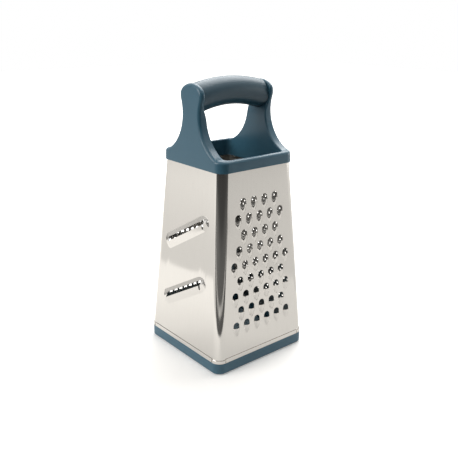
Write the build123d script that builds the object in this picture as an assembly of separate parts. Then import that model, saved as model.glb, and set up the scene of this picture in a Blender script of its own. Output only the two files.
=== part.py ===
from build123d import *
import math
import os

# A four-sided box grater stands on its push-on tray and is lifted by an arched grip.
# Millimetres. The origin is the middle of the footprint on the table, +Z is up.
# The coarse side faces -Y, the slicing side -X, the fine side +X and the medium side +Y.

# Steel body, square in plan and narrower at the top
SHEET = 0.5
BODY_FOOT_WIDTH = 104.7
BODY_HEAD_WIDTH = 80.6
BODY_HEIGHT = 173.8
BODY_CORNER = 8.0
SEAM_SETBACK = 0.3
SEAM_LAP = 5.0
SEAM_JOGGLE = 1.6

# Folded bottom edge of the steel
HEM_HEIGHT = 3.7
HEM_CORNER_HEIGHT = 3.1
HEM_GAP = 0.12
HEM_RELIEF = 0.7
HEM_ROUNDING = 0.5

# Coarse scoops, from the top row down
COARSE_COUNTS = (4, 5, 4, 5, 6, 5, 6, 5, 6)
COARSE_PITCH = 12.06
COARSE_ROW_PITCH = 13.64
COARSE_TOP_ROW = 148.9
COARSE_WIDTH = 6.6
COARSE_RISE = 2.2
COARSE_LENGTH = 8.4
COARSE_OPENING = 4.9

# Medium scoops
MEDIUM_BOTTOM_ROW = 38.2
MEDIUM_TOP_ROW = 156.0
MEDIUM_PITCH = 5.88
MEDIUM_ROW_PITCH = 6.12
MEDIUM_WIDTH = 3.4
MEDIUM_RISE = 1.1
MEDIUM_LENGTH = 3.4
MEDIUM_OPENING = 2.9

# Fine punched burrs
FINE_BOTTOM_ROW = 35.4
FINE_TOP_ROW = 154.0
FINE_PITCH = 4.7
FINE_ROW_PITCH = 3.9
FINE_HOLE = 1.9
FINE_BURR_FOOT = 3.3
FINE_BURR_TIP = 2.5
FINE_RISE = 0.7

# Plain border beside the small teeth, and beside the sewn-in toothed panels
TOOTH_BORDER = 11.0
PANEL_BORDER = 8.6
PANEL_MARGIN = 12.0

# Slicing windows, each a slanted blade with a feed ramp above it
WINDOW_HEIGHTS = (62.7, 117.5)
WINDOW_SHIFT = -1.4
WINDOW_TILT = 30.0
WINDOW_LENGTH = 68.4
WINDOW_WIDTH = 15.6
WINDOW_LEFT_FADE = 5.0
WINDOW_RIGHT_FADE = 9.0
WINDOW_STEP = 1.2
WINDOW_STEP_HEIGHT = 0.4
BLADE_RISE = 1.6
RAMP_DEPTH = 1.2
SLOT_WIDTH = 4.2
SLOT_OFFSET = 1.6
SLOT_LEFT_MARGIN = 4.6
SLOT_RIGHT_MARGIN = 6.6
NOTCH_LENGTH = 6.6
NOTCH_WIDTH = 1.9
WINDOW_STATIONS = 6
WINDOW_END_TURN = 70.0

# Moulded handle frame: collar, two arms and the bar inside the grip
COLLAR_WIDTH = 84.0
COLLAR_OVERLAP = 7.7
COLLAR_HEIGHT = 9.8
COLLAR_CORNER = 9.0
COLLAR_BORE = 74.6
COLLAR_BORE_CORNER = 5.0
SKIRT_DROP = 5.8
FRAME_DRAFT = 0.92
ARM_SPACE = 64.8
ARM_SPACE_RISE = 36.3
HEAD_SPACE = 72.6
HEAD_SPACE_RISE = 55.5
ARM_WAIST = 24.2
ARM_WAIST_RISE = 43.3
ARM_SWEEP = 36.0
ARM_BLEND = 15.0
HEAD_WIDTH = 29.7
HEAD_RISE = 59.3
HEAD_CROWN = 9.4
EDGE_ROUNDING = 2.9
INNER_ROUNDING = 1.3
BAR_THICKNESS = 13.0
BAR_DEPTH = 12.0
PEG_WIDTH = 8.0
PEG_HEIGHT = 3.0
PEG_SPACING = 40.0
PEG_ROOT = 0.5

# Soft grip moulded round the bar
GRIP_DIAMETER = 24.2
GRIP_END_DIAMETER = 24.9
GRIP_CROWN = 5.2
GRIP_RISE = 60.9

# Push-on tray and the soft ring under it
TRAY_WIDTH = 105.9
TRAY_CORNER = 8.6
TRAY_HEIGHT = 10.6
TRAY_FLOOR = 3.0
TRAY_UPSTAND = 5.4
TRAY_WALL = 1.8
TRAY_EDGE = 1.8
TRAY_TOP_EDGE = 0.6
RING_WIDTH = 6.0
RING_INSET = 5.0
RING_SEAT = 1.5
RING_PROUD = 0.4

# Fits, and how far a cut runs past what it cuts
STEEL_CLEARANCE = 0.1
PEG_CLEARANCE = 0.1
OVERRUN = 2.0

body_foot = TRAY_HEIGHT
body_head = body_foot + BODY_HEIGHT
body_slope = (BODY_FOOT_WIDTH - BODY_HEAD_WIDTH) / (2 * BODY_HEIGHT)
side_stretch = math.hypot(1, body_slope)
collar_foot = body_head - COLLAR_OVERLAP
collar_rim = collar_foot + COLLAR_HEIGHT
skirt_foot = collar_foot - SKIRT_DROP
frame_top = collar_foot + HEAD_RISE + 2 * HEAD_CROWN
frame_slope = math.tan(math.radians(FRAME_DRAFT))
grip_axis = collar_foot + GRIP_RISE
arm_inside = HEAD_SPACE / 2
tray_floor_top = RING_PROUD + TRAY_FLOOR
upstand_top = TRAY_HEIGHT + TRAY_UPSTAND
SIDES = {"coarse": 0, "fine": 90, "medium": 180, "slicing": -90}


def half_width(z):
    """Half of the steel body's outside width at height z."""
    return BODY_FOOT_WIDTH / 2 - body_slope * (z - body_foot)


def block(low, high, half_low, half_high, corner):
    """A square block between two heights, with rounded upright edges."""
    near = half_low - half_high
    far = half_low + half_high
    wedge = Wedge(2 * half_low, high - low, 2 * half_low, near, near, far, far)
    solid = Pos(0, 0, (low + high) / 2) * Rot(90, 0, 0) * wedge
    upright = [e for e in solid.edges() if e.bounding_box().size.Z > (high - low) / 2]
    return fillet(upright, corner)


def body_block(low, high, inset):
    """A block whose sides run parallel to the steel body's outside, held in by inset."""
    return block(low, high, half_width(low) - inset, half_width(high) - inset, BODY_CORNER - inset)


def rear_region(setback):
    """The space behind both upright seams, which lie setback from the body's outside."""
    low = body_foot - OVERRUN
    high = body_head + OVERRUN
    near = setback - half_width(low)
    drift = half_width(low) - half_width(high)
    size = BODY_FOOT_WIDTH
    wedge = Wedge(size, high - low, size, drift, -drift, size + drift, size - drift, align=None)
    return Pos(near, near + size, low) * Rot(90, 0, 0) * wedge


def side_location(side, z):
    """The outer surface of one side at height z: X across it, Y up it and Z out of it."""
    plane = Plane(origin=(0, -half_width(z), z), x_dir=(1, 0, 0), z_dir=(0, -1, body_slope))
    return Rot(0, 0, SIDES[side]) * plane.location


def hem():
    """The folded edge: a strip on each side and a lower one round each corner."""
    top = body_foot + HEM_HEIGHT
    strip = body_block(body_foot, top, -HEM_GAP - SHEET)
    strip = fillet(strip.faces().sort_by(Axis.Z)[0].edges(), HEM_ROUNDING)
    strip -= body_block(body_foot - OVERRUN, top + OVERRUN, 0)
    strip -= body_block(body_foot + SHEET, top + OVERRUN, -HEM_GAP)
    reach = half_width(body_foot) + OVERRUN
    flat = half_width(body_foot) - BODY_CORNER
    corner = 2 * (reach - flat)
    for turn in SIDES.values():
        for way in (-1, 1):
            slit = Box(HEM_RELIEF, 2 * OVERRUN, 2 * (HEM_HEIGHT - SHEET))
            strip -= Rot(0, 0, turn) * Pos(way * (flat - HEM_RELIEF / 2), -reach, top) * slit
        trim = Box(corner, corner, 2 * (HEM_HEIGHT - HEM_CORNER_HEIGHT))
        strip -= Rot(0, 0, turn) * Pos(-reach, -reach, top) * trim
    return strip


def arch_sizes(width, rise):
    """The radius of a tooth's round mouth, and how deep its axis lies under the sheet's top."""
    radius = (rise**2 + (width / 2)**2) / (2 * rise)
    return radius, radius - rise


def pointed_tooth(width, rise, length):
    """The outside and inside of a tooth that narrows in straight lines."""
    radius, sink = arch_sizes(width, rise)
    fall = rise / length
    outer_length = (radius - sink / 2) / fall
    inner_length = (radius - SHEET) / fall
    outer = Pos(0, -outer_length / 2, -sink) * Rot(90, 0, 0) * Cone(radius, sink / 2, outer_length)
    inner = Pos(0, -inner_length / 2, -sink) * Rot(90, 0, 0) * Cone(radius - SHEET, 0, inner_length)
    return outer, inner


def thumb_tooth(width, rise, length):
    """The outside and inside of a tooth that is round at its foot, like the tip of a thumb."""
    radius, sink = arch_sizes(width, rise)
    curve = (rise**2 + length**2) / (2 * rise)
    shapes = []
    for skin in (0, SHEET):
        reach = math.sqrt((curve - skin)**2 - (curve - radius)**2)
        angle = math.asin(reach / (curve - skin)) / 2
        middle = (radius - curve + (curve - skin) * math.cos(angle), -(curve - skin) * math.sin(angle))
        top = (radius - skin, 0)
        foot = (0, -reach)
        profile = make_face([Line((0, 0), top), ThreePointArc(top, middle, foot), Line(foot, (0, 0))])
        shapes.append(Pos(0, 0, -sink) * revolve(profile, Axis.Y))
    return shapes


def scoop(tooth, width, opening):
    """One pressed tooth: its lip, and the shape that the punch takes out of the sheet."""
    outer, inner = tooth
    size = outer.bounding_box().size
    keep = Pos(0, -size.Y / 2, size.X / 2 - SHEET) * Box(size.X, size.Y, size.X)
    lip = (outer & keep) - inner
    arch = Pos(0, opening - width / 2) * Circle(width / 2)
    arch += Pos(0, (opening - width / 2) / 2) * Rectangle(width, opening - width / 2)
    hole = extrude(Pos(0, 0, -OVERRUN) * arch, 2 * OVERRUN)
    return lip, hole + inner


def burr():
    """One fine tooth: the raised rim of a punched hole, and the hole."""
    cone = Cone(FINE_BURR_FOOT / 2, FINE_BURR_TIP / 2, FINE_RISE + SHEET)
    rim = Pos(0, 0, (FINE_RISE - SHEET) / 2) * cone
    hole = Cylinder(FINE_HOLE / 2, 2 * (FINE_RISE + OVERRUN))
    return rim - hole, hole


def coarse_places():
    """Staggered rows from the top down, each with its own count, as (across, height)."""
    places = []
    for row, count in enumerate(COARSE_COUNTS):
        z = COARSE_TOP_ROW - row * COARSE_ROW_PITCH
        for column in range(count):
            places.append(((column - (count - 1) / 2) * COARSE_PITCH, z))
    return places


def lattice_places(bottom, top, pitch, row_pitch):
    """A staggered pattern that fills a side up to its plain border, as (across, height)."""
    places = []
    for row in range(int((top - bottom) / row_pitch) + 1):
        z = bottom + row * row_pitch
        reach = half_width(z) - TOOTH_BORDER
        shift = (row % 2) * pitch / 2
        most = int(reach / pitch) + 1
        for column in range(-most, most + 1):
            across = column * pitch + shift
            if abs(across) <= reach:
                places.append((across, z))
    return places


def toothed_panel(side, places, tooth, hole, length):
    """A flat panel of one side, sewn from its two skins, its rim and the faces of every tooth."""
    bottom = min(z for across, z in places) - PANEL_MARGIN
    top = max(z for across, z in places) + PANEL_MARGIN
    ground = side_location(side, bottom)
    rise = (top - bottom) * side_stretch
    low = half_width(bottom) - PANEL_BORDER
    high = half_width(top) - PANEL_BORDER
    outline = make_face(Polyline((-low, 0), (low, 0), (high, rise), (-high, rise), close=True)).face()
    size = 3 * length
    tile = Pos(0, 0, -SHEET / 2) * Box(size, size, SHEET) - hole + tooth
    skins = [f for f in tile.faces() if f.area > size * size / 2]
    rim = [f for f in tile.faces() if max(abs(f.center().X), abs(f.center().Y)) > size / 2 - SHEET]
    walls = [f for f in tile.faces() if not any(f.is_same(other) for other in skins + rim)]
    stations = [Pos(across, (z - bottom) * side_stretch, 0) for across, z in places]
    faces = []
    for skin in skins:
        level = Pos(0, 0, skin.center().Z) * outline
        faces.append(Face(level.outer_wire(), [s * wire for s in stations for wire in skin.inner_wires()]))
    for edge in outline.edges():
        faces.append(Face.extrude(Pos(0, 0, -SHEET) * edge, (0, 0, SHEET)))
    faces += [s * wall for s in stations for wall in walls]
    panel = Solid(Shell(faces))
    bed = extrude(Pos(0, 0, -SHEET) * outline, SHEET)
    return ground * panel, ground * bed


def window_section(along, width_share, strength):
    """The sheet's section across a window: step, blade, slot, feed ramp, step."""
    half = WINDOW_WIDTH / 2 * width_share
    step = WINDOW_STEP * width_share
    height = WINDOW_STEP_HEIGHT * strength
    blade = (SLOT_OFFSET - SLOT_WIDTH / 2) * width_share
    ramp = (SLOT_OFFSET + SLOT_WIDTH / 2) * width_share
    top = [(along, -half, 0), (along, step - half, height), (along, blade, BLADE_RISE * strength),
           (along, ramp, -RAMP_DEPTH * strength), (along, half - step, -height), (along, half, 0)]
    low = [(x, y, z - SHEET) for x, y, z in reversed(top)]
    return make_face(Polyline(top + low, close=True))


def window_stations():
    """Where the sections stand, from left to right, with their shares of width and height."""
    stations = []
    for way, fade in ((-1, WINDOW_LEFT_FADE), (1, WINDOW_RIGHT_FADE)):
        for station in range(WINDOW_STATIONS + 1):
            turn = math.radians(WINDOW_END_TURN * station / WINDOW_STATIONS)
            last = math.radians(WINDOW_END_TURN)
            along = way * (WINDOW_LENGTH / 2 - fade * (1 - math.sin(turn) / math.sin(last)))
            strength = (math.cos(turn) - math.cos(last)) / (1 - math.cos(last))
            stations.append((along, math.cos(turn), strength))
    return sorted(stations)


def slicing_window():
    """A formed window, and the piece of flat sheet that it takes the place of."""
    stations = window_stations()
    formed = loft([window_section(*station) for station in stations], ruled=True)
    left = SLOT_LEFT_MARGIN - WINDOW_LENGTH / 2
    right = WINDOW_LENGTH / 2 - SLOT_RIGHT_MARGIN
    depth = 2 * (OVERRUN + BLADE_RISE)
    formed -= Pos((left + right) / 2, SLOT_OFFSET, 0) * Box(right - left, SLOT_WIDTH, depth)
    notch = Pos(0, -NOTCH_LENGTH / 2, 0) * Box(NOTCH_WIDTH, NOTCH_LENGTH, depth)
    formed -= Pos(right, SLOT_OFFSET, 0) * Rot(0, 0, -WINDOW_TILT) * notch
    half = WINDOW_WIDTH / 2
    low = [(along, -half * share) for along, share, strength in stations]
    high = [(along, half * share) for along, share, strength in reversed(stations)]
    outline = make_face(Polyline(low + high, close=True))
    return formed, extrude(outline, OVERRUN, both=True)


def peg_places():
    """Where a peg crosses the collar's groove: the turn of its side and its place across it."""
    return [(turn, way * PEG_SPACING / 2) for turn in SIDES.values() for way in (-1, 1)]


def pegs(clearance):
    """The pegs that lock the steel in the collar, or with a clearance their windows in it."""
    z = body_head - COLLAR_OVERLAP / 2
    reach = half_width(z) - SHEET / 2
    depth = SHEET + 2 * STEEL_CLEARANCE + 2 * PEG_ROOT
    peg = Box(PEG_WIDTH + 2 * clearance, depth, PEG_HEIGHT + 2 * clearance)
    return [Rot(0, 0, turn) * Pos(across, -reach, z) * peg for turn, across in peg_places()]


def plain_sheets():
    """The front and rear sheets before they are pressed, with a lap inside two opposite corners."""
    wall = body_block(body_foot, body_head, 0)
    wall -= body_block(body_foot - OVERRUN, body_head + OVERRUN, SHEET)
    wall = wall + hem() - pegs(PEG_CLEARANCE)
    seam = BODY_CORNER + SEAM_SETBACK
    region = rear_region(seam)
    lap = body_block(upstand_top + OVERRUN, skirt_foot - OVERRUN, SHEET)
    lap -= body_block(body_foot - OVERRUN, body_head + OVERRUN, 2 * SHEET)
    lap = (lap & rear_region(seam - SEAM_LAP)) - rear_region(seam + SEAM_JOGGLE)
    return wall - region, (wall & region) + lap


def make_front_sheet(sheet):
    """The slicing and coarse sides, bent round the front corner."""
    formed, cut = slicing_window()
    for z in WINDOW_HEIGHTS:
        place = side_location("slicing", z) * Pos(WINDOW_SHIFT, 0, 0) * Rot(0, 0, WINDOW_TILT)
        sheet = sheet - place * cut + place * formed
    tooth = thumb_tooth(COARSE_WIDTH, COARSE_RISE, COARSE_LENGTH)
    lip, hole = scoop(tooth, COARSE_WIDTH, COARSE_OPENING)
    panel, bed = toothed_panel("coarse", coarse_places(), lip, hole, COARSE_LENGTH)
    return sheet - bed + panel


def make_rear_sheet(sheet):
    """The fine and medium sides, bent round the rear corner."""
    places = lattice_places(MEDIUM_BOTTOM_ROW, MEDIUM_TOP_ROW, MEDIUM_PITCH, MEDIUM_ROW_PITCH)
    tooth = pointed_tooth(MEDIUM_WIDTH, MEDIUM_RISE, MEDIUM_LENGTH)
    lip, hole = scoop(tooth, MEDIUM_WIDTH, MEDIUM_OPENING)
    panel, bed = toothed_panel("medium", places, lip, hole, MEDIUM_LENGTH)
    sheet = sheet - bed + panel
    places = lattice_places(FINE_BOTTOM_ROW, FINE_TOP_ROW, FINE_PITCH, FINE_ROW_PITCH)
    rim, hole = burr()
    panel, bed = toothed_panel("fine", places, rim, hole, FINE_BURR_FOOT)
    return sheet - bed + panel


def arm_outline():
    """The handle seen from the side: the collar, and above it one arm with its round head."""
    waist = ARM_WAIST / 2
    waist_z = collar_foot + ARM_WAIST_RISE
    head = HEAD_WIDTH / 2
    head_z = collar_foot + HEAD_RISE
    lift = head_z - waist_z
    throat = (waist**2 + lift**2 - head**2) / (2 * (head - waist))
    tangent = head / (throat + head)
    neck = (tangent * (waist + throat), head_z - tangent * lift)
    sweep = ARM_SWEEP
    sweep_foot = waist + sweep - math.sqrt(sweep**2 - (waist_z - collar_rim)**2)
    angle = math.asin((waist_z - collar_rim) / sweep) / 2
    sweep_middle = (waist + sweep * (1 - math.cos(angle)), waist_z - sweep * math.sin(angle))
    angle = math.asin((neck[1] - waist_z) / throat) / 2
    throat_middle = (waist + throat * (1 - math.cos(angle)), waist_z + throat * math.sin(angle))
    angle = math.asin((head_z - neck[1]) / head) / 2
    cheek_middle = (head * math.cos(angle), head_z - head * math.sin(angle))
    crown = head_z + HEAD_CROWN
    wide = COLLAR_WIDTH
    edges = [Line((0, collar_foot), (wide, collar_foot)),
             Line((wide, collar_foot), (wide, collar_rim)),
             Line((wide, collar_rim), (sweep_foot, collar_rim)),
             ThreePointArc((sweep_foot, collar_rim), sweep_middle, (waist, waist_z)),
             ThreePointArc((waist, waist_z), throat_middle, neck),
             ThreePointArc(neck, cheek_middle, (head, head_z)),
             EllipticalCenterArc((0, head_z), head, HEAD_CROWN),
             Line((0, crown), (0, collar_foot))]
    half = make_face(edges)
    crease = half.vertices().sort_by_distance((sweep_foot, collar_rim))[0]
    half = fillet(crease, ARM_BLEND)
    return half + mirror(half, about=Plane.YZ)


def grip_arc():
    """The radius of the grip's axis, and the height of the arc's centre."""
    radius = (arm_inside**2 + GRIP_CROWN**2) / (2 * GRIP_CROWN)
    return radius, grip_axis - radius


def grip_bar():
    """The arched bar inside the grip, from arm to arm."""
    radius, centre = grip_arc()
    ring = Circle(radius + BAR_DEPTH / 2) - Circle(radius - BAR_DEPTH / 2)
    reach = 2 * arm_inside + SHEET
    ring &= Pos(0, radius) * Rectangle(reach, 2 * BAR_DEPTH + 2 * GRIP_CROWN)
    return Pos(0, 0, centre) * Rot(90, 0, 0) * extrude(ring, BAR_THICKNESS / 2, both=True)


def inner_space():
    """The space inside the collar and between the arms, which widens towards the heads."""
    low = skirt_foot - OVERRUN
    neck = collar_foot + ARM_SPACE_RISE
    head = collar_foot + HEAD_SPACE_RISE
    well = Pos(0, 0, (low + neck) / 2) * Box(ARM_SPACE, COLLAR_BORE, neck - low)
    well = fillet(well.edges().filter_by(Axis.Z), COLLAR_BORE_CORNER)
    near = ARM_SPACE / 2
    far = HEAD_SPACE / 2
    middle = (neck + head) / 2
    bend = Bezier((near, neck), (near, middle), (far, middle), (far, head))
    half = make_face([Line((0, neck), (near, neck)), bend, Line((far, head), (far, frame_top)),
                      Line((far, frame_top), (0, frame_top)), Line((0, frame_top), (0, neck))])
    gap = extrude(Plane.XZ * (half + mirror(half, about=Plane.YZ)), COLLAR_BORE)
    return well + Pos(0, COLLAR_BORE / 2, 0) * gap


def rim_edges(solid, skin):
    """The edges of the collar's rim and of both arms that lie on one skin of the frame."""
    test_shares = (0.2, 0.5, 0.8)
    edges = []
    for edge in solid.edges():
        box = edge.bounding_box()
        across = box.size.X < SHEET and box.size.Z < SHEET
        if box.min.Z > collar_rim - SHEET and not across:
            if all(skin.distance_to(edge @ share) < SHEET / 2 for share in test_shares):
                edges.append(edge)
    return edges


def make_handle_frame():
    """Collar, arms and bar in one moulding, with a groove for the steel's top edge."""
    half = COLLAR_WIDTH / 2
    high = half - frame_slope * (frame_top - collar_foot)
    outside = block(collar_foot, frame_top, half, high, COLLAR_CORNER)
    frame = outside & extrude(Plane.YZ * arm_outline(), COLLAR_WIDTH, both=True)
    frame = fillet(rim_edges(frame, outside.shell()), EDGE_ROUNDING)
    inside = inner_space()
    frame -= inside
    frame = fillet(rim_edges(frame, inside.shell()), INNER_ROUNDING)
    groove = body_block(collar_foot - OVERRUN, body_head, -STEEL_CLEARANCE)
    groove -= body_block(collar_foot - 2 * OVERRUN, body_head + OVERRUN, SHEET + STEEL_CLEARANCE)
    skirt = body_block(skirt_foot, collar_foot, SHEET + STEEL_CLEARANCE) - inside
    return frame - groove + skirt + pegs(0) + grip_bar()


def make_grip_sleeve():
    """A soft tube round the bar that swells a little towards both arms."""
    radius, centre = grip_arc()
    end = math.asin(arm_inside / radius)
    shares = (-1.25, -0.8, -0.4, 0, 0.4, 0.8, 1.25)
    rings = []
    for share in shares:
        angle = share * end
        swell = GRIP_DIAMETER + (GRIP_END_DIAMETER - GRIP_DIAMETER) * share**2
        place = (radius * math.sin(angle), 0, centre + radius * math.cos(angle))
        along = (math.cos(angle), 0, -math.sin(angle))
        rings.append(Plane(origin=place, x_dir=(0, 1, 0), z_dir=along) * Circle(swell / 2))
    return (loft(rings) & inner_space()) - grip_bar()


def make_base_tray():
    """The closed tray: its rim carries the hem and its upstand fits inside the steel."""
    half = TRAY_WIDTH / 2
    rim = block(RING_PROUD, TRAY_HEIGHT, half, half, TRAY_CORNER)
    rim = fillet(rim.faces().sort_by(Axis.Z)[0].edges(), TRAY_EDGE)
    rim = fillet(rim.faces().sort_by(Axis.Z)[-1].edges(), TRAY_TOP_EDGE)
    outside = SHEET + STEEL_CLEARANCE
    tray = rim + body_block(TRAY_HEIGHT - TRAY_FLOOR, upstand_top, outside)
    tray -= body_block(tray_floor_top, upstand_top + OVERRUN, outside + TRAY_WALL)
    return tray - ring_band(RING_SEAT + RING_PROUD)


def ring_band(high):
    """The soft ring's own shape, from the table up."""
    outer = TRAY_WIDTH / 2 - RING_INSET
    inner = outer - RING_WIDTH
    band = block(0, high, outer, outer, TRAY_CORNER - RING_INSET / 2)
    return band - block(-OVERRUN, high + OVERRUN, inner, inner, TRAY_CORNER - RING_INSET / 2)


def main():
    os.makedirs("parts", exist_ok=True)
    front, rear = plain_sheets()
    nodes = {
        "front_sheet": make_front_sheet(front),
        "rear_sheet": make_rear_sheet(rear),
        "handle_frame": make_handle_frame(),
        "grip_sleeve": make_grip_sleeve(),
        "base_tray": make_base_tray(),
        "non_slip_ring": ring_band(RING_SEAT + RING_PROUD),
    }
    for name, solid in nodes.items():
        print(name, len(solid.solids()), round(solid.volume, 1))
        export_step(solid, f"parts/{name}.step")


if __name__ == "__main__":
    main()
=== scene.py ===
# %% [markdown]
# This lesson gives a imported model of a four-sided box grater its surfaces, its finishes,
# its light and its picture. Two pressed steel sheets make the tapered body, a moulded
# frame with a soft grip sits on top, and a moulded base with a soft ring closes it below.
# The solids are already at their real place and size, in metres with +Z up, so nothing
# here is moved. The lesson starts by loading them.

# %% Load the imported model
import math

import bpy
from mathutils import Matrix, Vector


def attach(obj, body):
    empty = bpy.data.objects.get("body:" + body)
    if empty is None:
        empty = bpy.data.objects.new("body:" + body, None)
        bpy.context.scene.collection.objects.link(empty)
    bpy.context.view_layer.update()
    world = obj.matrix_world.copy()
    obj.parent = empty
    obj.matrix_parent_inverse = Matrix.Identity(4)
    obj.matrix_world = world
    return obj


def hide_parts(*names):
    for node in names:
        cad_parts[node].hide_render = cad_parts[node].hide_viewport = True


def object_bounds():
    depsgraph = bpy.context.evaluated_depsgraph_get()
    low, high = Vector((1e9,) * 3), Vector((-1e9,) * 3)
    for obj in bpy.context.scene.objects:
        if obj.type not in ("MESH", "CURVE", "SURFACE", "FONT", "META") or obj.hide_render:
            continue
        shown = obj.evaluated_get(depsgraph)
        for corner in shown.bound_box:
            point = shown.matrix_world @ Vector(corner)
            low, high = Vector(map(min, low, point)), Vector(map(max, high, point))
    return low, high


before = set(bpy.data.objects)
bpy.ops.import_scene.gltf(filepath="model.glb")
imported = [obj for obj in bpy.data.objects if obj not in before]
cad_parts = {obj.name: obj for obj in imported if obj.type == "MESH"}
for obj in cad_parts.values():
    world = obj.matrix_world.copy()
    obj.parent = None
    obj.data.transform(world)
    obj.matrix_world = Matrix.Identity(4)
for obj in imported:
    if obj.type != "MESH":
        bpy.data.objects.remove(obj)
cad_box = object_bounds()
print("nodes:", ", ".join(sorted(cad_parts)))

# %% [markdown]
# The camera comes first, because every choice after it is seen through it. Its place,
# its turns and its lens were worked out from the corners of the steel body and of the
# collar, so the picture lines up with the object.

# %% Camera
CAMERA_PLACE = Vector((-0.34925, -0.41815, 0.29744))
CAMERA_YAW = math.radians(-40.07)
CAMERA_PITCH = math.radians(18.87)
CAMERA_ROLL = math.radians(0.58)
CAMERA_LENS = 48.94

turn = Matrix.Rotation(CAMERA_YAW, 4, "Z")
turn = turn @ Matrix.Rotation(math.pi / 2 - CAMERA_PITCH, 4, "X")
turn = turn @ Matrix.Rotation(CAMERA_ROLL, 4, "Z")
bpy.ops.object.camera_add(location=CAMERA_PLACE, rotation=turn.to_euler())
camera = bpy.context.object
camera.name = "camera"
camera.data.lens = CAMERA_LENS
bpy.context.scene.camera = camera
print("camera is", round(CAMERA_PLACE.length, 3), "m from the middle of the base")

# %% [markdown]
# Materials are sums of patterns. One small class wraps the output of a node, so that a
# sum of patterns reads as Python, and its one method adds any other node. A value that
# is the same all over a surface is set on the shader itself, where an exporter finds it.

# %% Shader sums
class Signal:
    """An output of a shader node, which can be used in sums such as 1 - mask."""

    def __init__(self, tree, socket):
        self.tree = tree
        self.socket = socket

    def node(self, kind, settings=None, values=None, output=0):
        """Adds a node of any kind to the same tree and returns one of its outputs."""
        node = self.tree.nodes.new(kind)
        for name, value in (settings or {}).items():
            if name == "stops":
                for stop in value[2:]:
                    node.color_ramp.elements.new(stop[0])
                for element, (place, grey) in zip(node.color_ramp.elements, value):
                    element.position = place
                    element.color = (grey, grey, grey, 1)
            else:
                setattr(node, name, value)
        for name, value in (values or {}).items():
            feed(self.tree, node.inputs[name], value)
        return Signal(self.tree, node.outputs[output])

    def math(self, operation, *values):
        return self.node("ShaderNodeMath", {"operation": operation}, dict(enumerate(values)))

    def __add__(self, other):
        return self.math("ADD", self, other)

    def __sub__(self, other):
        return self.math("SUBTRACT", self, other)

    def __rsub__(self, other):
        return self.math("SUBTRACT", other, self)

    def __mul__(self, other):
        return self.math("MULTIPLY", self, other)

    __radd__ = __add__
    __rmul__ = __mul__


def feed(tree, socket, value):
    """Links a signal to a socket, or writes a plain value on it."""
    if isinstance(value, Signal):
        tree.links.new(value.socket, socket)
    else:
        socket.default_value = value


def new_material(name, **constants):
    """A material whose shader has these constant values, and its Object coordinates."""
    material = bpy.data.materials.new(name)
    material.use_nodes = True
    tree = material.node_tree
    shader = tree.nodes["Principled BSDF"]
    for socket, value in constants.items():
        shader.inputs[socket.replace("_", " ")].default_value = value
    coordinates = tree.nodes.new("ShaderNodeTexCoord")
    return material, shader, Signal(tree, coordinates.outputs["Object"])


# %% [markdown]
# Every finish on the grater comes from the same few patterns: a noise that is stretched
# along rolling lines or scratches, a bump that turns such a noise into a slight tilt of
# the surface, and a tint that goes from one colour to another. A mask made from the X, Y
# and Z of a place keeps a finish to the part of a piece where it belongs.

# %% Patterns
def noise(place, size, stretch=(1, 1, 1), detail=2.0):
    """A soft random pattern from 0 to 1, whose blotches are about size metres across."""
    scaled = place.node("ShaderNodeVectorMath", {"operation": "MULTIPLY"}, {0: place, 1: stretch})
    values = {"Vector": scaled, "Scale": 1 / size, "Detail": detail}
    return scaled.node("ShaderNodeTexNoise", None, values)


def bump(height, depth, normal=None):
    """Tilts the surface by a pattern of heights from 0 to 1, which is depth metres deep."""
    values = {"Height": height, "Distance": depth, "Strength": 1.0}
    if normal is not None:
        values["Normal"] = normal
    return height.node("ShaderNodeBump", None, values)


def tint(pattern, low, high):
    """Goes from the colour low to the colour high as the pattern goes from 0 to 1."""
    low, high = [end if isinstance(end, Signal) else (*end, 1) for end in (low, high)]
    values = {0: pattern, 6: low, 7: high}
    return pattern.node("ShaderNodeMix", {"data_type": "RGBA"}, values, output=2)


def blend(mask, low, high):
    """Gives the number low where the mask is 0 and the number high where it is 1."""
    return low + mask * (high - low)


def axis(place, name):
    return place.node("ShaderNodeSeparateXYZ", None, {0: place}, output=name)


# %% [markdown]
# Only the outside of the steel is polished: the inside keeps its grey mill finish. Both
# belong to one piece, so they are told apart by place. The body is a rounded square that
# narrows evenly from its foot to its head, and a place is inside when it lies deeper
# under that form than half the thickness of the sheet.

# %% Inside of the body
BODY_FOOT_HALF = 0.05235
BODY_HEAD_HALF = 0.0403
BODY_FOOT_HEIGHT = 0.0106
BODY_HEIGHT = 0.1738
BODY_CORNER = 0.008
SHEET = 0.0005


def depth_inside(place):
    """How deep a place lies under the body's outside, in metres, up to the corner's radius."""
    x, y, z = [axis(place, name) for name in "XYZ"]
    slope = (BODY_FOOT_HALF - BODY_HEAD_HALF) / BODY_HEIGHT
    half_at_zero = BODY_FOOT_HALF + BODY_FOOT_HEIGHT * slope
    straight = (half_at_zero - BODY_CORNER) - z * slope
    past_x, past_y = [side.math("MAXIMUM", side.math("ABSOLUTE", side) - straight, 0.0) for side in (x, y)]
    return BODY_CORNER - x.math("SQRT", past_x * past_x + past_y * past_y)


# %% [markdown]
# The body is bright stainless sheet as it leaves the rolling mill. It is nearly a mirror,
# but a soft one: rolling leaves faint lines up the sheet, pressing leaves the walls very
# slightly wavy, and hands leave patches that are a little duller. A wavy wall matters
# most, because it bends the edges of whatever the steel reflects.

# %% Steel
STEEL_DARK = (0.69, 0.665, 0.625)
STEEL_LIGHT = (0.73, 0.705, 0.665)
STEEL_ROUGHNESS = 0.055
STEEL_DULL = 0.045
DULL_PATCH = 0.018
WAVE_LENGTH = 0.055
WAVE_DEPTH = 0.00022
ROLLING_LINE = 0.0009
ROLLING_STRETCH = (1, 1, 0.03)
ROLLING_DEPTH = 0.0000015
MILL_GREY = (0.47, 0.455, 0.43)
MILL_ROUGHNESS = 0.36


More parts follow.
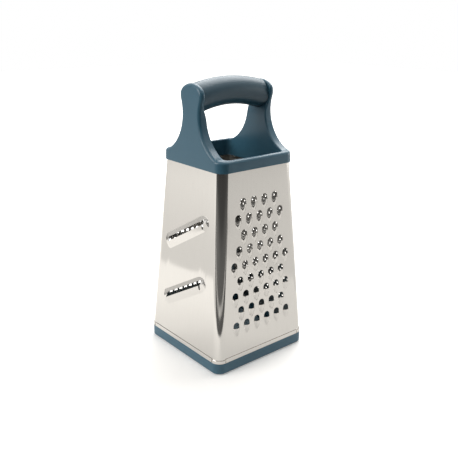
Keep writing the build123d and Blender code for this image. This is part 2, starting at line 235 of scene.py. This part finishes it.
def make_steel():
    material, shader, place = new_material("bright_steel", Metallic=1.0)
    tree = place.tree
    waves = noise(place, WAVE_LENGTH, detail=0.0)
    lines = noise(place, ROLLING_LINE, stretch=ROLLING_STRETCH, detail=3.0)
    patches = noise(place, DULL_PATCH, detail=4.0)
    inside = place.math("GREATER_THAN", depth_inside(place), SHEET / 2)
    polished = tint(lines, STEEL_DARK, STEEL_LIGHT)
    feed(tree, shader.inputs["Base Color"], tint(inside, polished, MILL_GREY))
    smooth = STEEL_ROUGHNESS + patches * STEEL_DULL
    feed(tree, shader.inputs["Roughness"], blend(inside, smooth, MILL_ROUGHNESS))
    wavy = bump(waves, WAVE_DEPTH)
    feed(tree, shader.inputs["Normal"], bump(lines, ROLLING_DEPTH, wavy))
    return material


steel = make_steel()
print(steel.name, "has", len(steel.node_tree.nodes), "shader nodes")

# %% [markdown]
# The floor inside the base shows through the lowest holes, and it is painted paler there,
# in fine streaks that cross each other: painted light, for the light that comes in through
# the top and the holes. The mask keeps this to the low inside of the base, clear of its
# outer wall, because the collar and the base share one plastic.

# %% Painted light on the floor inside the base
PAINTED_LIGHT_FLOOR_DARK = (0.21, 0.31, 0.37)
PAINTED_LIGHT_FLOOR_LIGHT = (0.31, 0.42, 0.48)
PAINTED_LIGHT_HALF = 0.0478
PAINTED_LIGHT_BOTTOM = 0.0028
PAINTED_LIGHT_TOP = 0.02
PAINTED_STREAK_SIZE = 0.0012
PAINTED_STREAKS_ALONG_X = (0.08, 1, 1)
PAINTED_STREAKS_ALONG_Y = (1, 0.08, 1)


def painted_light_floor_mask(place):
    """A mask that is 1 on the floor inside the base, where light is painted, and 0 on all other plastic.
    """
    x, y, z = [axis(place, name) for name in "XYZ"]
    reach = x.math("MAXIMUM", x.math("ABSOLUTE", x), y.math("ABSOLUTE", y))
    height = z.math("LESS_THAN", z, PAINTED_LIGHT_TOP) * z.math("GREATER_THAN", z, PAINTED_LIGHT_BOTTOM)
    return height * reach.math("LESS_THAN", reach, PAINTED_LIGHT_HALF)


# Painted light: a paler colour in crossing streaks, for the floor inside the base.
def painted_light_floor_colour(place):
    along_x = noise(place, PAINTED_STREAK_SIZE, stretch=PAINTED_STREAKS_ALONG_X)
    along_y = noise(place, PAINTED_STREAK_SIZE, stretch=PAINTED_STREAKS_ALONG_Y)
    return tint(place.math("MAXIMUM", along_y, along_x), PAINTED_LIGHT_FLOOR_DARK, PAINTED_LIGHT_FLOOR_LIGHT)


# %% [markdown]
# The collar, the arms and the base are moulded in one slate blue plastic. A mould for
# such a part is spark eroded, so the plastic has a fine even grain that softens its
# gloss, and the colour itself is even, with only a slight cloudiness.

# %% Slate blue plastic
PLASTIC_DARK = (0.037, 0.110, 0.158)
PLASTIC_LIGHT = (0.044, 0.121, 0.173)
PLASTIC_CLOUD = 0.02
PLASTIC_ROUGHNESS = 0.27
PLASTIC_UNEVENNESS = 0.08
INNER_FLOOR_DULL = 0.25
PLASTIC_GRAIN = 0.00035
PLASTIC_GRAIN_DEPTH = 0.000012


def make_plastic():
    material, shader, place = new_material("slate_plastic", IOR=1.49)
    tree = place.tree
    clouds = noise(place, PLASTIC_CLOUD, detail=3.0)
    grain = noise(place, PLASTIC_GRAIN, detail=1.0)
    # The floor inside the base gets painted light, a paler colour in streaks, and is duller.
    painted_light_floor = painted_light_floor_mask(place)
    moulded_colour = tint(clouds, PLASTIC_DARK, PLASTIC_LIGHT)
    feed(tree, shader.inputs["Base Color"], tint(painted_light_floor, moulded_colour, painted_light_floor_colour(place)))
    roughness = PLASTIC_ROUGHNESS + clouds * PLASTIC_UNEVENNESS + painted_light_floor * INNER_FLOOR_DULL
    feed(tree, shader.inputs["Roughness"], roughness)
    feed(tree, shader.inputs["Normal"], bump(grain, PLASTIC_GRAIN_DEPTH))
    return material


plastic = make_plastic()
print(plastic.name, "has", len(plastic.node_tree.nodes), "shader nodes")

# %% [markdown]
# The grip is a softer, darker rubber moulded over the bar. Its grain is finer and it is
# more matte, so its light fades slowly from the top round to the underside. The ring
# under the base is a rubber too, and it is the dullest piece, because it has to hold.

# %% Soft rubbers
GRIP_DARK = (0.017, 0.061, 0.090)
GRIP_LIGHT = (0.022, 0.071, 0.103)
GRIP_ROUGHNESS = 0.36
FOOT_DARK = (0.03, 0.045, 0.055)
FOOT_LIGHT = (0.04, 0.058, 0.07)
FOOT_ROUGHNESS = 0.62
RUBBER_CLOUD = 0.012
RUBBER_UNEVENNESS = 0.08
RUBBER_GRAIN = 0.00022
RUBBER_GRAIN_DEPTH = 0.00001


def make_rubber(name, dark, light, roughness):
    material, shader, place = new_material(name, IOR=1.52)
    tree = place.tree
    clouds = noise(place, RUBBER_CLOUD, detail=3.0)
    grain = noise(place, RUBBER_GRAIN)
    feed(tree, shader.inputs["Base Color"], tint(clouds, dark, light))
    feed(tree, shader.inputs["Roughness"], roughness + clouds * RUBBER_UNEVENNESS)
    feed(tree, shader.inputs["Normal"], bump(grain, RUBBER_GRAIN_DEPTH))
    print(name, "has", len(tree.nodes), "shader nodes")
    return material


grip_rubber = make_rubber("soft_grip_rubber", GRIP_DARK, GRIP_LIGHT, GRIP_ROUGHNESS)
foot_rubber = make_rubber("foot_rubber", FOOT_DARK, FOOT_LIGHT, FOOT_ROUGHNESS)

# %% [markdown]
# A solid arrives as loose triangles, which shade flat. A copy of each one is merged, its
# shallow edges are shaded smooth and the large flat faces are given the last word on the
# normals, so that the walls stay flat mirrors and only the bends are rounded. The rear
# sheet has hundreds of small teeth, so four faces in ten of its copy are merged away.

# %% Smooth copies of the solids
MERGE_DISTANCE = 0.000001
STEEL_BEND = 28
MOULDING_BEND = 32
GRIP_BEND = 40
REAR_SHARE = 0.6


def only(piece):
    """Leaves just this piece selected and active, as one click on it would."""
    bpy.ops.object.select_all(action="DESELECT")
    piece.select_set(True)
    bpy.context.view_layer.objects.active = piece


def apply_modifier(piece, kind, **settings):
    modifier = piece.modifiers.new(kind.lower(), kind)
    for name, value in settings.items():
        setattr(modifier, name, value)
    only(piece)
    bpy.ops.object.modifier_apply(modifier=modifier.name)


def smooth_copy(node, name, material, bend, share=1.0):
    """Shows a merged copy of a node in its place, smooth over edges up to bend degrees."""
    piece = bpy.data.objects.new(name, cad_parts[node].data.copy())
    bpy.context.scene.collection.objects.link(piece)
    only(piece)
    bpy.ops.mesh.customdata_custom_splitnormals_clear()
    bpy.ops.object.mode_set(mode="EDIT")
    bpy.ops.mesh.select_all(action="SELECT")
    bpy.ops.mesh.remove_doubles(threshold=MERGE_DISTANCE)
    bpy.ops.object.mode_set(mode="OBJECT")
    if share < 1:
        apply_modifier(piece, "DECIMATE", ratio=share)
    bpy.ops.object.shade_smooth_by_angle(angle=math.radians(bend))
    apply_modifier(piece, "WEIGHTED_NORMAL", keep_sharp=True, weight=100)
    piece.data.materials.clear()
    piece.data.materials.append(material)
    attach(piece, "root")
    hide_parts(node)
    print(name, "has", len(piece.data.polygons), "faces")


smooth_copy("front_sheet", "front_steel", steel, STEEL_BEND)
smooth_copy("rear_sheet", "rear_steel", steel, STEEL_BEND, share=REAR_SHARE)
smooth_copy("handle_frame", "handle_moulding", plastic, MOULDING_BEND)
smooth_copy("grip_sleeve", "soft_grip", grip_rubber, GRIP_BEND)
smooth_copy("base_tray", "base_moulding", plastic, MOULDING_BEND)
smooth_copy("non_slip_ring", "soft_ring", foot_rubber, MOULDING_BEND)

# %% [markdown]
# Bright steel shows the studio more than it shows itself, so the studio is made with
# care, from places and directions. A few more helpers turn these into the numbers that
# its patterns are made from: how far a place lies along a way, a soft step between two
# values, and a mask that is 1 only for the rays of one kind. One way points from the
# grater towards the camera, and the other points to the camera's left.

# %% Studio helpers
FRONT_WAY = (math.sin(CAMERA_YAW), -math.cos(CAMERA_YAW), 0)
LEFT_WAY = (-math.cos(CAMERA_YAW), -math.sin(CAMERA_YAW), 0)


def dot(place, way):
    settings = {"operation": "DOT_PRODUCT"}
    return place.node("ShaderNodeVectorMath", settings, {0: place, 1: way}, output="Value")


def distance(place):
    return place.node("ShaderNodeVectorMath", {"operation": "LENGTH"}, {0: place}, output="Value")


def soft_step(signal, start, end, low, high):
    """Goes softly from low to high as the signal goes from start to end."""
    settings = {"interpolation_type": "SMOOTHSTEP"}
    return signal.node("ShaderNodeMapRange", settings, {0: signal, 1: start, 2: end, 3: low, 4: high})


def rays(place, kind):
    """A mask that is 1 for rays of this kind, such as Camera or Glossy."""
    return place.node("ShaderNodeLightPath", output=f"Is {kind} Ray")


# %% [markdown]
# To the left and right, the table that the steel reflects is shaded close to the grater
# and ends on each side: at the left along a bend, beyond which it is darker and then
# brightens with distance, and at the right along a straight line. Tones multiply the
# white of the floor, and reaches are in metres from the middle of the base.

# %% Table at the sides
LEFT_BEND = (0.170, 0.220)
LEFT_ENDS = (-0.219, -0.197)
LEFT_EDGE = 0.008
NEAR_REACHES = (0.06, 0.22)
NEAR_TONES = (0.92, 1.10)
BEYOND_REACHES = (-0.2, -0.7)
BEYOND_TONES = (0.77, 0.92)
RIGHT_END = 0.195
RIGHT_EDGE = 0.015
RIGHT_TONES = (0.81, 0.69)
MIDDLE_EDGE = 0.03


def side_tone(place):
    """How light the table is to the left and to the right of the grater."""
    x = axis(place, "X")
    left_end = soft_step(axis(place, "Y"), *LEFT_BEND, *LEFT_ENDS)
    past_left = soft_step(x - left_end, LEFT_EDGE, -LEFT_EDGE, 0, 1)
    table = soft_step(distance(place), *NEAR_REACHES, *NEAR_TONES)
    left = blend(past_left, table, soft_step(x, *BEYOND_REACHES, *BEYOND_TONES))
    right = soft_step(x, RIGHT_END - RIGHT_EDGE, RIGHT_END + RIGHT_EDGE, *RIGHT_TONES)
    on_left = soft_step(dot(place, LEFT_WAY), -MIDDLE_EDGE, MIDDLE_EDGE, 0, 1)
    return blend(on_left, right, left)


# %% [markdown]
# In front, the near corner of the body reflects the strip of floor towards the camera.
# That strip makes the dark band down the corner: a short stretch of white table, a dark
# gap, a light strip, and then a dark studio that gets darker with distance. A ramp holds
# these tones at their reaches.

# %% Table in front
FRONT_REACH = 1.2
TABLE_END = 0.180
TABLE_EDGE = 0.006
STRIP_START = 0.254
STRIP_START_EDGE = 0.008
STRIP_END = 0.300
STRIP_END_EDGE = 0.015
TABLE_TONE = 1.0
GAP_TONES = (0.06, 0.09)
STRIP_TONE = 0.55
STUDIO_TONE = 0.12
FAR_TONES = ((0.62, 0.10), (1.0, 0.04), (FRONT_REACH, 0.03))


def front_tone(place):
    """How light the floor is towards the camera."""
    stops = [(0, TABLE_TONE), (TABLE_END, TABLE_TONE), (TABLE_END + TABLE_EDGE, GAP_TONES[0]),
             (STRIP_START, GAP_TONES[1]), (STRIP_START + STRIP_START_EDGE, STRIP_TONE),
             (STRIP_END, STRIP_TONE), (STRIP_END + STRIP_END_EDGE, STUDIO_TONE), *FAR_TONES]
    stops = [(reach / FRONT_REACH, tone) for reach, tone in stops]
    ahead = dot(place, FRONT_WAY) * (1 / FRONT_REACH)
    return ahead.node("ShaderNodeValToRGB", {"stops": stops}, {0: ahead})


# %% [markdown]
# The camera sees the floor plain white with the soft shadow of the grater, so it is lit
# as a white floor and glows a little more with distance. Every other ray sees the tones
# above. Part of what a glossy ray sees is glow and not lit colour, because the shadow of
# the grater would otherwise darken its own reflections too much.

# %% Floor
FLOOR_REACH = 3.0
FLOOR_WHITE = (0.92, 0.905, 0.88)
FLOOR_GLOW = (1.0, 0.99, 0.97)
BLACK = (0, 0, 0)
FLOOR_ROUGHNESS = 0.9
FLOOR_LIFT = 0.18
LIFT_REACHES = (0.15, 0.9)
FRONT_SPREAD = (0.26, 0.34)
GLOSS_SHARE = 0.45
GLOSS_LIFT = 0.52


def make_floor_white():
    constants = {"Roughness": FLOOR_ROUGHNESS, "Emission_Strength": 1.0}
    material, shader, place = new_material("white_table", **constants)
    tree = place.tree
    heading = place.node("ShaderNodeVectorMath", {"operation": "NORMALIZE"}, {0: place})
    in_front = soft_step(dot(heading, FRONT_WAY), *FRONT_SPREAD, 0, 1)
    seen = side_tone(place) * blend(in_front, 1.0, front_tone(place))
    camera_ray = rays(place, "Camera")
    glossy = rays(place, "Glossy")
    tone = blend(camera_ray, seen * blend(glossy, 1.0, GLOSS_SHARE), 1.0)
    feed(tree, shader.inputs["Base Color"], tint(tone, BLACK, FLOOR_WHITE))
    lift = soft_step(distance(place), *LIFT_REACHES, FLOOR_LIFT, 1.0)
    glow = camera_ray * lift + glossy * seen * GLOSS_LIFT
    feed(tree, shader.inputs["Emission Color"], tint(glow, BLACK, FLOOR_GLOW))
    return material


def make_floor():
    bpy.ops.mesh.primitive_plane_add(size=2 * FLOOR_REACH)
    floor = bpy.context.object
    floor.name = "floor"
    floor.data.materials.append(make_floor_white())
    print("floor reaches", FLOOR_REACH, "m each way")


make_floor()

# %% [markdown]
# The studio around the floor is white where the camera looks past the table. Glossy rays
# see it by direction: pale behind the grater and overhead, dimmer low at the sides. Low
# behind the camera it is dark for every other ray, and all else is a soft even light.

# %% Studio light
SOFT_LIGHT = 0.55
PALE_TONE = 1.1
SIDE_TONE = 0.35
DARK_TONE = 0.03
DARK_SPREAD = (0.15, 0.45)
DARK_HEIGHTS = (0.35, 0.85)
BEHIND_SPREAD = (-0.35, -0.6)
OVERHEAD_HEIGHTS = (0.35, 0.6)


def make_studio():
    world = bpy.data.worlds.new("room")
    world.use_nodes = True
    bpy.context.scene.world = world
    tree = world.node_tree
    shader = tree.nodes["Background"]
    coordinates = tree.nodes.new("ShaderNodeTexCoord")
    way = Signal(tree, coordinates.outputs["Generated"])
    ahead = dot(way, FRONT_WAY)
    height = axis(way, "Z")
    dark = soft_step(ahead, *DARK_SPREAD, 0, 1) * soft_step(height, *DARK_HEIGHTS, 1, 0)
    behind = soft_step(ahead, *BEHIND_SPREAD, 0, 1)
    overhead = soft_step(height, *OVERHEAD_HEIGHTS, 0, 1)
    pale = way.math("MAXIMUM", behind, overhead)
    mirrored = blend(pale, SIDE_TONE, PALE_TONE)
    other = blend(dark, blend(rays(way, "Glossy"), SOFT_LIGHT, mirrored), DARK_TONE)
    feed(tree, shader.inputs["Strength"], blend(rays(way, "Camera"), other, 1.0))
    shader.inputs["Color"].default_value = (1, 1, 1, 1)
    print("studio light has", len(tree.nodes), "shader nodes")


make_studio()

# %% [markdown]
# Three square soft lamps model the form. The large one hangs high behind the grater at
# the right and draws the light line along the top of the grip. One at the left keeps the
# left side lighter than the front, and a small low one at the right lifts the front of
# the collar and of the base.

# %% Lamps
LAMPS = {
    "top_lamp": {"size": 1.4, "energy": 27.0, "place": (0.8, 0.5, 1.35)},
    "left_lamp": {"size": 1.0, "energy": 13.5, "place": (-1.3, 0.35, 0.8)},
    "right_lamp": {"size": 0.6, "energy": 6.0, "place": (1.4, -0.6, 0.3)},
}


def make_lamp(name, size, energy, place):
    """A square soft lamp that points at the middle of the grater."""
    bpy.ops.object.light_add(type="AREA", location=place)
    lamp = bpy.context.object
    lamp.name = name
    lamp.data.size = size
    lamp.data.energy = energy
    aim = (cad_box[0] + cad_box[1]) / 2 - Vector(place)
    lamp.rotation_euler = aim.to_track_quat("-Z", "Y").to_euler()
    print(name, "is", round(aim.length, 2), "m from the grater")


for name, lamp in LAMPS.items():
    make_lamp(name, **lamp)
bpy.context.scene.view_settings.view_transform = "Standard"
